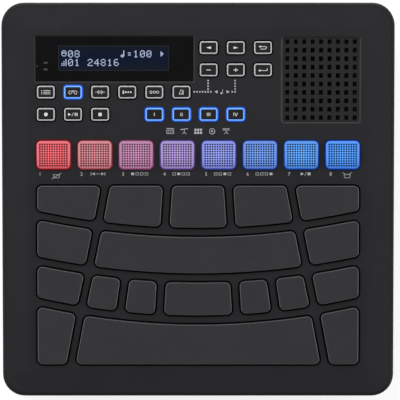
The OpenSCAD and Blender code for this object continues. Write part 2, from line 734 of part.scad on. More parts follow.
module bay_holes() {
    from = bay_y - wall - over;
    to = bay_y + over;
    for (x = [aux_x, phones_x]) across(x, socket_z, from, to) circle(r = jack_collar_r + fit);
    across(usb_c_x, socket_z, from, to) port(USB_C, fit);
    across(usb_a_x, socket_z, from, to) port(USB_A, fit);
    across(knob_x, socket_z, from, to) circle(r = shaft_r + 0.6);
    across(power_x, socket_z, from, to) port(POWER, 0.4);
}

module jack(x) {
    back = bay_y - wall - fit;
    mouth = bay_y + collar_out;
    bottom = mouth - jack_l;
    difference() {
        union() {
            translate([x - jack_w / 2, bottom - 0.6, main_board_z])
                cube([jack_w, back - bottom + 0.6, component_h]);
            across(x, socket_z, back - over, mouth) circle(r = jack_collar_r);
        }
        across(x, socket_z, bottom, mouth + over) circle(d = jack_bore);
    }
}

// A sheet-metal shell with a closed back, a tongue = [width, height, z] in it and a foot on the board.
module usb_socket(x, size, length, tongue) {
    skin = 0.35;
    back = bay_y - length;
    difference() {
        union() {
            across(x, socket_z, back, bay_y) port(size);
            translate([x - size[0] / 2 + 1, back, main_board_z])
                cube([size[0] - 2, length - wall - 1, socket_z - main_board_z]);
        }
        difference() {
            across(x, socket_z, back + 1, bay_y + over) port(size, -skin);
            translate([x - tongue[0] / 2, back, socket_z + tongue[2]])
                cube([tongue[0], length - 0.6, tongue[1]]);
        }
    }
}

module rear_sockets() {
    color("#202022") {
        jack(aux_x);
        jack(phones_x);
        usb_socket(usb_c_x, USB_C, 7.5, [6.6, 0.7, -0.35]);
        usb_socket(usb_a_x, USB_A, 14, [11, 1.6, 0.5]);
    }
}

module volume_knob() {
    face = bay_y + 0.5;
    shaft_end = main_board_back - pot[1] + 2.5;
    grips = 24;
    grip_r = 0.7;
    mark = [0.8, knob_diameter / 2 - 1, 0.5];
    color("#242426") translate([knob_x, 0, socket_z]) rotate([-90, 0, 0]) {
        difference() {
            translate([0, 0, face]) cylinder(h = knob_l, d = knob_diameter);
            for (i = [0:grips - 1]) rotate([0, 0, i * 360 / grips])
                translate([(knob_diameter + grip_r) / 2, 0, face + 1])
                    cylinder(h = knob_l, r = grip_r, $fn = 16);
            translate([-mark[0] / 2, -knob_diameter / 2 - over, face + knob_l - mark[2]])
                cube(mark + [0, 0, over]);
        }
        translate([0, 0, shaft_end]) cylinder(h = face - shaft_end + over, r = shaft_r);
    }
}

module power_button() {
    color("#242426") {
        across(power_x, socket_z, power_flange_y, power_flange_y + flange_t) port(POWER, 1.2);
        across(power_x, socket_z, power_flange_y, bay_y + 1.8) port(POWER);
    }
}

// ---- The two case halves and the feet ----

module deck_openings() {
    for (p = PADS) slab(pad_ring(p, pad_clear), -wall - over, over);
    for (l = LIT) translate([lit_x(l[1]), lit_y])
        slab(rectangle(lit_w, lit_d, lit_r, key_gap), -wall - over, over);
    for (k = KEYS) translate(key_at(k))
        slab(rectangle(key_w, key_d, key_r, key_gap, 3), -wall - over, over);
    translate([window_x, window_y]) panel_seat(window_w, window_d, 0.6, window_z, window_t);
    translate([grille_x, grille_y]) panel_seat(grille_w, grille_d, 1.2, grille_z, grille_t);
}

module top_case() {
    color("#2e2d30") difference() {
        union() {
            deck() difference() {
                upper_form();
                upper_hollow();
            }
            deck() posts(SENSOR_POSTS, sensor_z);
            deck() posts(KEY_POSTS, key_board_z);
            deck() display_posts();
            upper_bosses();
        }
        deck() deck_openings();
        upper_pilots();
    }
}

foot_recess = 1;
module foot_places() {
    for (x = [-foot_x, foot_x], y = [-foot_y, foot_y]) translate([x, y, 0]) children();
}

module bottom_case() {
    color("#29282b") difference() {
        union() {
            difference() {
                lower_form();
                lower_hollow();
            }
            seam_tongue();
            intersection() {
                lower_form();
                union() {
                    bay_block(wall, bay_y - wall, bay_y + 20);
                    lower_bosses();
                }
            }
            board_posts();
            battery_fence();
            floor_ribs();
        }
        bay_block(0, bay_y, bay_y + 30);
        bay_holes();
        screw_passages();
        foot_places() translate([0, 0, base_z - over])
            cylinder(h = foot_recess + over, d = foot_diameter + 0.4);
    }
}

module rubber_feet() {
    r = foot_diameter / 2;
    top = base_z + foot_recess;
    color("#1a1a1b") foot_places() rotate_extrude()
        polygon([[0, 0], [r - 1.6, 0], [r - 0.8, 0.5], [r, base_z - 0.6], [r, top], [0, top]]);
}

top_case();
bottom_case();
speaker_grille();
display_window();
display_module();
speaker();
pad_sensor_board();
key_board();
main_board();
battery_pack();
rear_sockets();
volume_knob();
power_button();
rubber_feet();
case_screws();
for (p = PADS) finger_pad(p);
for (l = LIT) lit_pad(l);
for (k = KEYS) key(k);
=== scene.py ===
"""Table-top drum machine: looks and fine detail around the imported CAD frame."""
import bpy
import bmesh
import json
import math
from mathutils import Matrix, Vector

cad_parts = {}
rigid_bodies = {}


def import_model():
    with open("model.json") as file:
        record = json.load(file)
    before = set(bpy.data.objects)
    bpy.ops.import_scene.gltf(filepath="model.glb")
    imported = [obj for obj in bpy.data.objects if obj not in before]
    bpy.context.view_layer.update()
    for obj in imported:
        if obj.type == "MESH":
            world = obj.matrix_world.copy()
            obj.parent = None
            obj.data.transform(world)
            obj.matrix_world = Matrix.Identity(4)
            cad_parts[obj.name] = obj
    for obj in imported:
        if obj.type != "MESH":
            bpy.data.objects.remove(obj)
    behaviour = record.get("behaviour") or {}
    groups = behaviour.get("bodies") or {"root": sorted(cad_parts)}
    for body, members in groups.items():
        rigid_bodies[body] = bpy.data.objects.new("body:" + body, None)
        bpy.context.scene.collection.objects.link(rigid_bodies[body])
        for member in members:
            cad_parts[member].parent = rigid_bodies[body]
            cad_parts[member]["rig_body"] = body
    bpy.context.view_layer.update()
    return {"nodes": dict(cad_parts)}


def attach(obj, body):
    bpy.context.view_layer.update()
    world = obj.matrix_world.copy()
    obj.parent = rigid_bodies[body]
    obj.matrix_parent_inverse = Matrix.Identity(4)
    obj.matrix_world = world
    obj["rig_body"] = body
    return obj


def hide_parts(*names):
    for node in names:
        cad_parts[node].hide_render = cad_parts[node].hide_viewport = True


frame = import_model()
nodes = frame["nodes"]

# ---- Sizes and places from the CAD source, in millimetres in the sloping deck's own frame ----

CASE_W, CASE_D, FRONT_H = 240, 241, 33
# The deck leans towards the player; y and height of its middle
TILT = math.radians(4)
DECK_BACK, MID_H = -0.6063, FRONT_H + CASE_D / 2 * math.sin(TILT)
# Flanges of the keys and lit pads: underside, thickness and reach beyond the outline
FLANGE_Z, FLANGE_T, REACH = -3.9, 1.2, 1.75
# Heights between which the case's edge is rolled, and of the ceiling of its hollow
ROLL_LOW, ROLL_HIGH = -4.5, -1.42
CEILING_LOW, CEILING_HIGH = -4.2, -3.7
# Within this distance of the middle lie all the openings of the deck, in metres
OPENINGS_X, OPENINGS_Y = 0.104, 0.106
# Lit pads: outline and corner, pitch, y of their middles and rise above the deck
LIT_W, LIT_D, LIT_R, LIT_PITCH, LIT_Y, LIT_RISE = 20.325, 16.9, 2.6, 25.125, 28.0, 1.6
# Keys: outline, corner and rise; the first key of either block; the pitch of columns and rows
KEY_W, KEY_D, KEY_R, KEY_RISE = 10.7, 7.65, 1.5, 0.9
KEY_BLOCKS, KEY_DX, KEY_DY = ((6.45, 93.175), (-92.42, 66.175)), 16.47, 13.5
# The window's top; the grille's middle and top; how far its recess reaches to either side, and its front in metres
WINDOW_Z, GRILLE_X, GRILLE_Z = -0.5, 74.7, -0.8
RECESS_REACH, RECESS_FRONT = 25, 0.046
# The field of characters: its middle and its size
SCREEN_X, SCREEN_Y, SCREEN_W, SCREEN_D = -51.25, 86.8, 67.1, 15.2
# The floor of the socket bay, and the height and places of what is in its row, on the table's own axes
BAY_Y, SOCKET_Z = 112.107, 18.5
KNOB_X, PHONES_X, AUX_X, USB_A_X, USB_C_X, POWER_X = 56, 31, 10, -16, -38, -58
KNOB_FRONT, BUTTON_FRONT = 0.1180, 0.1138       # in metres

# ---- Sizes of the finer detail, in millimetres ----

# The upper case's wall leans in to the rolled edge, and the lean fades over the top of it
WALL_LEAN, LEAN_FADE = 0.4, 1.2
# A key's frame and the groove round its cap, a little finer than in the CAD source
KEY_FRAME, GROOVE_W, GROOVE_D = 0.76, 0.40, 0.5
# The grid of small square dots on a lit pad: columns and rows, their pitches, a dot's side and depth
DOT_COLS, DOT_ROWS, DOT_DX, DOT_DY, DOT, DOT_SINK = 12, 10, 1.49, 1.44, 1.02, 0.3
# Underside and top of a print, from the surface that carries it
PRINT_LOW, PRINT_HIGH = -0.05, 0.02
# Each key's block (0 beside the window, 1 below it), column and row
KEYS = {
    "cursor_left": (0, 0, 0), "cursor_right": (0, 1, 0), "exit": (0, 2, 0),
    "value_down": (0, 0, 1), "value_up": (0, 1, 1), "enter": (0, 2, 1),
    "menu": (1, 0, 0), "kit": (1, 1, 0), "audio": (1, 2, 0),
    "session": (1, 3, 0), "registration": (1, 4, 0), "click": (1, 5, 0),
    "record": (1, 0, 1), "play_pause": (1, 1, 1), "stop": (1, 2, 1),
    "bank_1": (1, 4, 1), "bank_2": (1, 5, 1), "bank_3": (1, 6, 1), "bank_4": (1, 7, 1),
}
LIT_KEYS = ("kit", "bank_1", "bank_2", "bank_3", "bank_4")
PADS = [f"pad_row{r}_{i + 1}" for r, n in ((1, 5), (2, 3), (3, 7), (4, 3)) for i in range(n)]
# Colour of each lit pad, from its middle to its rim
LIT_COLOURS = [
    ((0.96, 0.150, 0.180), (0.72, 0.172, 0.216)), ((0.71, 0.258, 0.295), (0.62, 0.225, 0.265)),
    ((0.62, 0.286, 0.500), (0.45, 0.220, 0.335)), ((0.48, 0.342, 0.745), (0.330, 0.272, 0.560)),
    ((0.31, 0.370, 0.920), (0.240, 0.262, 0.690)), ((0.178, 0.365, 0.930), (0.142, 0.256, 0.700)),
    ((0.125, 0.415, 1.05), (0.100, 0.270, 0.770)), ((0.092, 0.355, 1.02), (0.098, 0.285, 0.900)),
]


def on_deck(x, y, z=0):
    """A point of the sloping deck's own frame, in millimetres, as a place in the scene."""
    return Vector((x, y * math.cos(TILT) - z * math.sin(TILT) + DECK_BACK,
                   y * math.sin(TILT) + z * math.cos(TILT) + MID_H)) / 1000


def deck_height(v):
    """How high a place in the scene is above the deck's plane, in millimetres."""
    return -(v.y * 1000 - DECK_BACK) * math.sin(TILT) + (v.z * 1000 - MID_H) * math.cos(TILT)


def key_place(name):
    """Middle of a key on the deck."""
    block, col, row = KEYS[name]
    x, y = KEY_BLOCKS[block]
    return x + col * KEY_DX, y - row * KEY_DY


def lit_x(i):
    """Middle of a lit pad, counted from 0 at the left."""
    return (i - 3.5) * LIT_PITCH


# ---- Materials ----

class Look:
    """A material with a Principled shader and a few helpers for its nodes."""

    def __init__(self, name, colour, roughness, **sockets):
        self.material = bpy.data.materials.new(name)
        self.material.use_nodes = True
        self.tree = self.material.node_tree
        self.shader = self.tree.nodes["Principled BSDF"]
        self.shader.inputs["Base Color"].default_value = (*colour, 1)
        self.shader.inputs["Roughness"].default_value = roughness
        for socket, value in sockets.items():
            self.shader.inputs[socket.replace("_", " ")].default_value = value
        self.colour, self.roughness = colour, roughness
        self.place = self.add("ShaderNodeTexCoord").outputs["Object"]

    def add(self, kind, settings=(), **inputs):
        """A new node; inputs are named by their socket, or by its number after an underscore."""
        node = self.tree.nodes.new(kind)
        for key, value in dict(settings).items():
            setattr(node, key, value)
        for key, value in inputs.items():
            socket = node.inputs[int(key[1:])] if key[0] == "_" else node.inputs[key.replace("_", " ")]
            if isinstance(value, bpy.types.NodeSocket):
                self.tree.links.new(value, socket)
            else:
                socket.default_value = value
        return node

    def link(self, output, name):
        """Feeds a socket of the shader."""
        self.tree.links.new(output, self.shader.inputs[name])

    def math(self, kind, a, b=0.0, c=0.0, clamp=False):
        return self.add("ShaderNodeMath", {"operation": kind, "use_clamp": clamp}, _0=a, _1=b, _2=c).outputs[0]

    def noise(self, scale, detail=2.0, stretch=None):
        place = self.place
        if stretch:
            place = self.add("ShaderNodeMapping", Vector=place, Scale=stretch).outputs[0]
        return self.add("ShaderNodeTexNoise", Vector=place, Scale=scale, Detail=detail).outputs["Fac"]

    def ramp(self, value, stops):
        node = self.add("ShaderNodeValToRGB", Fac=value)
        points = node.color_ramp.elements
        while len(points) < len(stops):
            points.new(0.5)
        for point, (at, colour) in zip(points, stops):
            point.position, point.color = at, (*colour, 1)
        return node.outputs["Color"]

    def mix(self, share, a, b):
        return self.add("ShaderNodeMix", {"data_type": "RGBA"}, _0=share, _6=a, _7=b).outputs[2]

    def mottle(self, scale, amount, rough=0.06):
        """Slow change of colour and roughness over the surface."""
        low = tuple(c * (1 - amount) for c in self.colour)
        high = tuple(c * (1 + amount) for c in self.colour)
        cloud = self.noise(scale, 4)
        self.link(self.ramp(cloud, [(0.3, low), (0.7, high)]), "Base Color")
        fine = self.noise(scale * 7, 3)
        self.link(self.add("ShaderNodeMapRange", Value=fine, From_Min=0.3, From_Max=0.7,
                           To_Min=self.roughness - rough, To_Max=self.roughness + rough).outputs[0], "Roughness")
        return self

    def grain(self, scale, depth, strength=0.6, detail=3.0, kind="noise", stretch=None):
        """Fine relief, its depth in metres: noise or cells."""
        if kind == "noise":
            height = self.noise(scale, detail, stretch)
        else:
            height = self.add("ShaderNodeTexVoronoi", {"feature": "F1"}, Vector=self.place,
                              Scale=scale).outputs["Distance"]
        bump = self.add("ShaderNodeBump", Strength=strength, Distance=depth, Height=height)
        self.link(bump.outputs[0], "Normal")
        return self

    def glow(self, colour, strength=1.0):
        if isinstance(colour, tuple):
            self.shader.inputs["Emission Color"].default_value = (*colour, 1)
        else:
            self.link(colour, "Emission Color")
        self.shader.inputs["Emission Strength"].default_value = strength
        return self


def moulded(name, colour, roughness=0.55, spec=0.22):
    """Fine spark-eroded plastic."""
    return Look(name, colour, roughness, Specular_IOR_Level=spec).mottle(22, 0.07).grain(2600, 0.00003, 0.55)


upper_plastic = moulded("upper_case_plastic", (0.0178, 0.0173, 0.0195)).material
# Nearly black walls in the openings and in the grille's holes: painted shade in the gaps
painted_opening_shade = (Look("painted_opening_shade", (0.0030, 0.0030, 0.0033), 0.8, Specular_IOR_Level=0.1)
                   .mottle(60, 0.1).material)
# The rolled edge: duller, and darker in colour as painted shade
dull_edge_painted_shade = moulded("upper_edge_painted_shade", (0.0160, 0.0156, 0.0176), 0.60, 0.06).material
# Slope round the grille's recess: a little glossier, and lighter in colour as a painted highlight
recess_slope_painted_highlight = moulded("recess_slope_painted_highlight", (0.0225, 0.0220, 0.0235), 0.42, 0.24).material
lower_plastic = moulded("lower_case_plastic", (0.0162, 0.0158, 0.0174)).material
grille_plastic = moulded("grille_plastic", (0.0180, 0.0177, 0.0191)).material
knob_plastic = (Look("knob_plastic", (0.016, 0.016, 0.018), 0.38, Specular_IOR_Level=0.4)
                .mottle(60, 0.08).grain(3500, 0.00002, 0.4).material)
pad_rubber = (Look("pad_rubber", (0.0316, 0.0307, 0.0340), 0.46, Specular_IOR_Level=0.32)
              .mottle(35, 0.05).grain(4200, 0.00002, 0.5).material)
# Rounded rims of the pads: glossier rubber, and lighter in colour as a painted highlight
pad_rim_gloss_painted_highlight = (Look("pad_rim_gloss_painted_highlight", (0.0380, 0.0371, 0.0405), 0.34, Specular_IOR_Level=0.70)
                  .mottle(60, 0.05).grain(4200, 0.00001, 0.4).material)
cap_plastic = (Look("key_cap_plastic", (0.0150, 0.0147, 0.0160), 0.38, Specular_IOR_Level=0.4)
               .mottle(80, 0.08, 0.04).grain(3500, 0.00001, 0.3).material)
frame_plain = Look("key_plastic", (0.46, 0.46, 0.47), 0.45).mottle(90, 0.03).grain(3000, 0.00001, 0.3).material
ink = Look("print_ink", (0.62, 0.62, 0.63), 0.55).mottle(700, 0.10).grain(4000, 0.00001, 0.3).material
label_ink = Look("label_ink", (0.42, 0.42, 0.43), 0.55).mottle(700, 0.10).grain(4000, 0.00001, 0.3).material
faint_ink = Look("faint_print_ink", (0.060, 0.060, 0.063), 0.5).mottle(700, 0.10).material
foot_rubber = Look("foot_rubber", (0.014, 0.014, 0.014), 0.75).mottle(60, 0.12).grain(1500, 0.00006, 0.7).material
steel = (Look("screw_steel", (0.55, 0.55, 0.57), 0.28, Metallic=1.0)
         .mottle(300, 0.08, 0.08).grain(1800, 0.00001, 0.4, stretch=(1, 1, 6)).material)
socket_plastic = (Look("socket_plastic", (0.012, 0.012, 0.013), 0.32, Specular_IOR_Level=0.45)
                  .mottle(120, 0.1, 0.05).grain(2500, 0.00002, 0.3).material)
speaker_paper = Look("speaker_paper", (0.006, 0.006, 0.006), 0.85).mottle(120, 0.2).grain(900, 0.0002, 0.8).material
board_green = (Look("circuit_board", (0.012, 0.075, 0.035), 0.35)
               .mottle(150, 0.25, 0.1).grain(900, 0.00004, 0.4, kind="cells").material)
battery_blue = Look("battery_wrap", (0.05, 0.12, 0.30), 0.4).mottle(60, 0.08).grain(700, 0.00003, 0.3).material
display_back = (Look("display_glass", (0.006, 0.010, 0.045), 0.2)
                .mottle(60, 0.1, 0.05).grain(900, 0.00002, 0.2).material)
# Nearly black flanges under the deck, seen down the gaps round pads and keys: painted shade
painted_skirt_shade = (Look("painted_skirt_shade", (0.0022, 0.0022, 0.0024), 0.85, Specular_IOR_Level=0.08)
                .mottle(60, 0.1).material)
acrylic = (Look("window_acrylic", (0.0050, 0.0050, 0.0055), 0.18, Specular_IOR_Level=0.3)
           .mottle(30, 0.10, 0.03).grain(300, 0.000004, 0.2).material)


def lit_frame_look():
    """Frame of a key that is lit from below, a little uneven in brightness."""
    look = Look("key_plastic_lit", (0.10, 0.22, 0.45), 0.4)
    light = look.ramp(look.noise(260, 2), [(0.35, (0.085, 0.265, 0.86)), (0.65, (0.120, 0.325, 0.95))])
    return look.glow(light, 0.86).grain(3000, 0.00001, 0.3).material


frame_lit = lit_frame_look()


def deepened(colour, level):
    """A darker, purer shade of a colour."""
    peak = max(colour)
    return tuple(level * peak * (c / peak) ** 1.8 for c in colour)


def halo(name, colour, level):
    """Light from below caught in the gap round a lit piece."""
    look = Look(name, (0.003, 0.003, 0.003), 0.8, Specular_IOR_Level=0.1)
    low, high = deepened(colour, level * 0.85), deepened(colour, level * 1.15)
    return look.glow(look.ramp(look.noise(120, 2), [(0.3, low), (0.7, high)]), 1.0).material


key_halo = halo("key_halo", (0.13, 0.35, 1.0), 0.62)


def lit_silicone(i):
    """Silicone lit from below: bright in the middle, duller along its rim, deep in colour down its sides."""
    middle, rim = LIT_COLOURS[i]
    look = Look(f"lit_silicone_{i + 1}", tuple(0.12 * c for c in rim), 0.5, Specular_IOR_Level=0.25)
    centre = on_deck(lit_x(i), LIT_Y, LIT_RISE)
    local = look.add("ShaderNodeVectorMath", {"operation": "SUBTRACT"}, _0=look.place, _1=centre).outputs[0]
    xyz = look.add("ShaderNodeSeparateXYZ", Vector=local)
    # From 0 in the middle to 1 at the rim, and the depth below the top in millimetres
    x = look.math("ABSOLUTE", look.math("MULTIPLY", xyz.outputs[0], 2000 / LIT_W))
    y = look.math("ABSOLUTE", look.math("MULTIPLY", xyz.outputs[1], 2000 / LIT_D))
    edge = look.math("MAXIMUM", x, y)
    round_ = look.math("SQRT", look.math("ADD", look.math("MULTIPLY", x, x), look.math("MULTIPLY", y, y)))
    cloud = look.math("MULTIPLY_ADD", look.noise(140, 3), 0.16, look.math("SUBTRACT", round_, 0.08))
    inside = look.ramp(cloud, [(at, tuple(gain * c for c in middle))
                               for at, gain in ((0.0, 1.32), (0.5, 1.1), (1.0, 0.94))])
    rim_share = look.add("ShaderNodeMapRange", {"interpolation_type": "SMOOTHSTEP"}, Value=edge,
                         From_Min=0.84, From_Max=0.92).outputs[0]
    light = look.mix(rim_share, inside, (*rim, 1))
    depth = look.math("MULTIPLY", xyz.outputs[2], 1000)
    side = look.add("ShaderNodeMapRange", {"interpolation_type": "SMOOTHSTEP"}, Value=depth,
                    From_Min=-0.10, From_Max=-1.0).outputs[0]
    return look.glow(look.mix(side, light, (*deepened(middle, 0.40), 1)), 0.93).grain(3500, 0.00002, 0.4).material


def dot_look(i):
    """A dot on a lit pad: almost black, with a trace of the pad's colour."""
    middle, _ = LIT_COLOURS[i]
    look = Look(f"lit_dots_{i + 1}", (0.006, 0.006, 0.007), 0.7, Specular_IOR_Level=0.1)
    low, high = deepened(middle, 0.012), deepened(middle, 0.025)
    return look.glow(look.ramp(look.noise(500, 2), [(0.3, low), (0.7, high)]), 0.9).grain(3000, 0.00002, 0.3).material


def screen_look():
    """Dark display field, bluest along its middle."""
    look = Look("display_field", (0.002, 0.003, 0.006), 0.25, Specular_IOR_Level=0.2)
    split = look.add("ShaderNodeSeparateXYZ", Vector=look.place)
    away = look.math("ABSOLUTE", look.math("SUBTRACT", split.outputs[1], on_deck(0, SCREEN_Y).y))
    share = look.math("MULTIPLY_ADD", look.noise(60, 1), 0.25, look.math("MULTIPLY", away, 2000 / SCREEN_D))
    light = look.ramp(share, [(0.0, (0.0024, 0.0060, 0.0225)), (1.1, (0.0056, 0.0076, 0.0130))])
    return look.glow(light, 1.0).material


def screen_edge_look():
    """The display's rim, a little paler than its field."""
    look = Look("display_edge", (0.004, 0.005, 0.008), 0.4, Specular_IOR_Level=0.2)
    light = look.ramp(look.noise(90, 2), [(0.3, (0.012, 0.014, 0.020)), (0.7, (0.018, 0.021, 0.029))])
    return look.glow(light, 1.0).material


def character_look():
    """The display's bright dots."""
    look = Look("display_characters", (0.02, 0.02, 0.03), 0.3)
    light = look.ramp(look.noise(900, 2), [(0.3, (0.50, 0.60, 0.90)), (0.7, (0.66, 0.76, 1.0))])
    return look.glow(light, 0.95).grain(3000, 0.000004, 0.2).material


screen_blue, screen_edge, characters_white = screen_look(), screen_edge_look(), character_look()

# ---- Mesh building ----


def new_piece(name, bm, materials, body):
    """The mesh as a piece of the scene that rides on a body of the frame."""
    mesh = bpy.data.meshes.new(name)
    bm.to_mesh(mesh)
    bm.free()
    piece = bpy.data.objects.new(name, mesh)
    for material in materials:
        mesh.materials.append(material)
    bpy.context.scene.collection.objects.link(piece)
    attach(piece, body)
    return piece


def shade(bm, angle=32):
    """Smooth faces, with a crisp edge where the surface turns by more than angle."""
    limit = math.radians(angle)
    bm.normal_update()
    for face in bm.faces:
        face.smooth = True
    for edge in bm.edges:
        edge.smooth = len(edge.link_faces) == 2 and edge.calc_face_angle(0) < limit


def keep_flats(piece):
    """Large flat faces keep their own normal beside small rounded ones."""
    modifier = piece.modifiers.new("normals", "WEIGHTED_NORMAL")
    modifier.keep_sharp = True
    modifier.weight = 80


def rounded(w, d, r, n=8, inset=0.0):
    """Points round a rectangle with rounded corners, counter-clockwise."""
    w, d, r = w / 2 - inset, d / 2 - inset, max(r - inset, 0.05)
    points = []
    for quarter, (sx, sy) in enumerate(((1, 1), (-1, 1), (-1, -1), (1, -1))):
        for k in range(n + 1):
            a = (quarter + k / n) * math.pi / 2
            points.append((sx * (w - r) + r * math.cos(a), sy * (d - r) + r * math.sin(a)))
    return points


def ring(bm, points, z, place):
    """Vertices over a row of points, all at one height."""
    return [bm.verts.new(place(x, y, z)) for x, y in points]


def band(bm, low, high, slot=0):
    """Faces between two rings of as many points; the lower ring comes first."""
    n = len(low)
    for i in range(n):
        face = bm.faces.new((low[i], low[(i + 1) % n], high[(i + 1) % n], high[i]))
        face.material_index = slot


def stitch(bm, outer, inner, slot=0):
    """Flat faces between two counter-clockwise rings with different numbers of points."""
    start = min(range(len(inner)), key=lambda k: (inner[k].co - outer[0].co).length)
    inner = inner[start:] + inner[:start]
    n, m, i, j = len(outer), len(inner), 0, 0
    while i < n or j < m:
        a, a_next = outer[i % n], outer[(i + 1) % n]
        b, b_next = inner[j % m], inner[(j + 1) % m]
        along_outer = j == m or (i < n and (a_next.co - b.co).length <= (b_next.co - a.co).length)
        bm.faces.new((a, a_next, b) if along_outer else (a, b_next, b)).material_index = slot
        i, j = (i + 1, j) if along_outer else (i, j + 1)


def cap(bm, points, slot=0, down=False):
    """One flat face over a counter-clockwise ring."""
    bm.faces.new(points[::-1] if down else points).material_index = slot


def prism(bm, points, low, high, place, slot=0):
    """A closed upright solid over a polygon given counter-clockwise."""
    a, b = ring(bm, points, low, place), ring(bm, points, high, place)
    band(bm, a, b, slot)
    cap(bm, a, slot, down=True)
    cap(bm, b, slot)


def stroke(bm, points, width, low, high, place, closed=False, slot=0):
    """A line of even width through the points, as a closed solid."""
    n, left, right = len(points), [], []
    for i, p in enumerate(points):
        p = Vector(p)
        before = Vector(points[i - 1]) if i or closed else None
        after = Vector(points[(i + 1) % n]) if i < n - 1 or closed else None
        a = (p - before).normalized() if before is not None else (after - p).normalized()
        b = (after - p).normalized() if after is not None else a
        side = Vector((-(a + b).y, (a + b).x)).normalized()
        reach = width / 2 / max(0.35, side.dot(Vector((-a.y, a.x))))    # short tips at sharp turns
        left.append(tuple(p + side * reach))
        right.append(tuple(p - side * reach))
    tl, tr = ring(bm, left, high, place), ring(bm, right, high, place)
    bl, br = ring(bm, left, low, place), ring(bm, right, low, place)
    for i in range(n if closed else n - 1):
        j = (i + 1) % n
        for quad in ((tl[i], tr[i], tr[j], tl[j]), (bl[i], bl[j], br[j], br[i]),
                     (tl[i], tl[j], bl[j], bl[i]), (tr[i], br[i], br[j], tr[j])):
            bm.faces.new(quad).material_index = slot
    if not closed:
        bm.faces.new((tl[0], bl[0], br[0], tr[0])).material_index = slot
        bm.faces.new((tl[-1], tr[-1], br[-1], bl[-1])).material_index = slot


def circle(x, y, r, n, start=0.0, turn=360.0):
    """Points of a circle, or of an arc that turns less than a full circle, in degrees."""
    count = n if turn == 360 else n + 1
    return [(x + r * math.cos(math.radians(start + turn * k / n)),
             y + r * math.sin(math.radians(start + turn * k / n))) for k in range(count)]


def box_shape(x, y, w, h):
    """Corners of a rectangle about its middle."""
    return [(x - w / 2, y - h / 2), (x + w / 2, y - h / 2), (x + w / 2, y + h / 2), (x - w / 2, y + h / 2)]


# ---- CAD pieces with softened edges ----


def refined(node, materials, rims=(), slot_of=None, soft=32, lean=None):
    """The CAD node's own form with some of its edges rounded.

    rims are pairs of a choice of edges and a width in millimetres; soft is the turn in degrees from which an edge
    is crisp; slot_of gives a face its material and lean moves vertices.
    """
    bm = bmesh.new()
    bm.from_mesh(nodes[node].data)
    if lean:
        lean(bm)
    # The solid's triangles become its flat faces
    bmesh.ops.remove_doubles(bm, verts=bm.verts, dist=2e-6)
    bmesh.ops.dissolve_limit(bm, angle_limit=math.radians(0.3), verts=bm.verts, edges=bm.edges)
    for face in bm.faces:
        face.material_index = 0
    for choose, width in rims:
        bm.normal_update()
        edges = [e for e in bm.edges if len(e.link_faces) == 2 and e.is_convex
                 and e.calc_face_angle(0) > math.radians(soft) and choose(e)]
        bmesh.ops.bevel(bm, geom=edges, offset=width / 1000, offset_type="OFFSET", segments=2,
                        profile=0.5, affect="EDGES", clamp_overlap=False)
    bm.normal_update()
    if slot_of:
        for face in bm.faces:
            face.material_index = slot_of(face)
    shade(bm, soft)
    piece = new_piece(f"{node}_form", bm, materials, nodes[node]["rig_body"])
    keep_flats(piece)
    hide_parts(node)


def level(e, z):
    """Whether an edge lies at one height above the deck."""
    return all(abs(deck_height(v.co) - z) < 0.03 for v in e.verts)


def in_recess(point):
    """Whether a point lies in or round the recess of the grille."""
    return abs(point.x * 1000 - GRILLE_X) < RECESS_REACH and point.y > RECESS_FRONT


def round_grille(e):
    """Whether an edge is where the deck turns down into the recess of the grille."""
    return level(e, 0) and all(in_recess(v.co) for v in e.verts)


def case_slot(face):
    """Painted shade on the opening walls, a duller rolled edge with painted shade, a painted highlight on the
    grille's slope.
    """
    c = face.calc_center_median()
    z = deck_height(c)
    if abs(c.x) < OPENINGS_X and abs(c.y) < OPENINGS_Y:
        if in_recess(c) and z > GRILLE_Z + 0.05 and 0.1 < face.normal.z < 0.98:
            return 3
        return 1 if abs(face.normal.z) < 0.35 and -6 < z < -0.1 else 0
    return 2 if face.normal.z > 0.1 and ROLL_LOW < z < ROLL_HIGH else 0


def lean_walls(bm):
    """The upper case's wall leans in a little from the seam up to the rolled edge."""
    for v in bm.verts:
        z = deck_height(v.co)
        inside = max(abs(v.co.x), abs(v.co.y)) < OPENINGS_X or CEILING_LOW < z < CEILING_HIGH
        if inside or not ROLL_LOW - 0.1 < z < ROLL_HIGH + 0.1:
            continue
        share = min(1, (ROLL_HIGH + 0.1 - z) / LEAN_FADE)
        for axis, half in ((0, CASE_W / 2), (1, CASE_D / 2)):
            v.co[axis] *= 1 - share * WALL_LEAN / half


def hole_slot(face):
    """Painted shade on the walls of the grille's holes."""
    return 1 if abs(face.normal.z) < 0.35 and deck_height(face.calc_center_median()) < GRILLE_Z - 0.2 else 0


def pad_slot(face):
    """Painted shade on the flanges under the deck, and a glossier rounded edge round the top, lighter in colour as a
    painted highlight.
    """
    z = deck_height(face.calc_center_median())
    if z < -0.6 and abs(face.normal.z) > 0.5:
        return 1
    return 2 if z > 0.4 and 0.05 < face.normal.z < 0.97 else 0


# Materials by slot: the case's plastic, painted shade in the openings, painted shade on the rolled edge, painted
# highlight on the grille's slope
refined("top_case", [upper_plastic, painted_opening_shade, dull_edge_painted_shade, recess_slope_painted_highlight],
        [(round_grille, 0.7), (lambda e: level(e, 0) and not round_grille(e), 0.35)], case_slot,
        lean=lean_walls)
refined("bottom_case", [lower_plastic])
refined("speaker_grille", [grille_plastic, painted_opening_shade], [(lambda e: level(e, GRILLE_Z), 0.12)], hole_slot)
refined("display_window", [acrylic], [(lambda e: level(e, WINDOW_Z), 0.15)])
for pad in PADS:
    refined(pad, [pad_rubber, painted_skirt_shade, pad_rim_gloss_painted_highlight], slot_of=pad_slot, soft=50)

# ---- Lit pads: rounded silicone with a grid of small square dots ----


